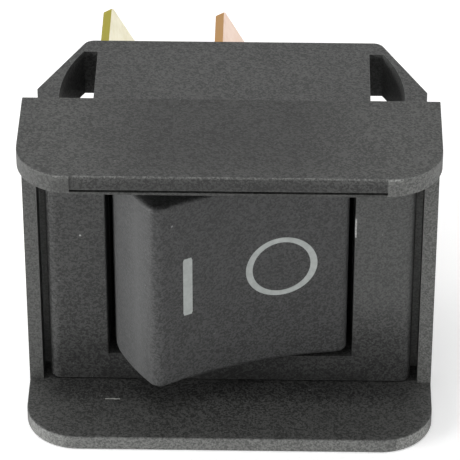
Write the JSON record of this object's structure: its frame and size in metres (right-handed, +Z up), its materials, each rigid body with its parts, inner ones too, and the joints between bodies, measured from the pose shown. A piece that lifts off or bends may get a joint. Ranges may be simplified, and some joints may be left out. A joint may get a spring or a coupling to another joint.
{
  "type": "panel rocker switch",
  "caption": "Black snap-in panel rocker switch with a guard frame, a turning rocker marked I and O, and twisted quick-connect tabs behind.",
  "frame": {"origin": "middle of the panel cut-out, in the plane of the panel's front face, where the guard frame's rear face seats", "axes": "+X to the right as the user sees the face, +Y into the panel, towards the tabs, +Z up; the rocker's face looks towards -Y"},
  "size_m": [0.033, 0.0318, 0.0266],
  "materials": {
    "frame_plastic": "fine satin texture",
    "housing_plastic": "fine satin texture",
    "rocker_plastic": "fine satin texture, printed marks",
    "base_plastic": "as moulded",
    "plunger_plastic": "smooth",
    "brass": "stamped, lightly dulled",
    "copper": "stamped, lightly dulled",
    "contact_silver": "silver alloy",
    "spring_steel": "drawn wire"
  },
  "bodies": {
    "switch_body": {"guard_frame": "frame_plastic", "housing": "housing_plastic", "base": "base_plastic", "common_terminal_upper": "copper", "common_terminal_lower": "copper", "switched_terminal_upper": "brass", "switched_terminal_lower": "brass", "fixed_contact_upper": "contact_silver", "fixed_contact_lower": "contact_silver", "arm_spring_upper": "spring_steel", "arm_spring_lower": "spring_steel"},
    "rocker_body": {"rocker": "rocker_plastic", "detent_spring": "spring_steel"},
    "plunger_body": {"detent_plunger": "plunger_plastic"},
    "arm_body_upper": {"contact_arm_upper": "copper", "moving_contact_upper": "contact_silver"},
    "arm_body_lower": {"contact_arm_lower": "copper", "moving_contact_lower": "contact_silver"}
  },
  "joints": [
    {"name": "rocker_tilt", "type": "hinge", "parent": "switch_body", "child": "rocker_body", "pos_m": [0, -0.0011, 0], "axis": [0, 0, -1], "range_deg": [0, 38.2]},
    {"name": "plunger_slide", "type": "slide", "parent": "rocker_body", "child": "plunger_body", "axis": [0.3272, -0.9449, 0], "range_m": [0, 0.0008], "stiffness_N_per_m": 600, "springref_m": -0.0012, "deforming": ["detent_spring"]},
    {"name": "arm_swing_upper", "type": "hinge", "parent": "switch_body", "child": "arm_body_upper", "pos_m": [0.0002, 0.0086, 0.006], "axis": [0, 0, -1], "range_deg": [0, 22.7], "deforming": ["arm_spring_upper"]},
    {"name": "arm_swing_lower", "type": "hinge", "parent": "switch_body", "child": "arm_body_lower", "pos_m": [0.0002, 0.0086, -0.006], "axis": [0, 0, -1], "range_deg": [0, 22.7], "deforming": ["arm_spring_lower"]}
  ],
  "couplings": [
    {"joint": "arm_swing_upper", "follows": "rocker_tilt", "ratio": 0.59427},
    {"joint": "arm_swing_lower", "follows": "rocker_tilt", "ratio": 0.59427}
  ]
}
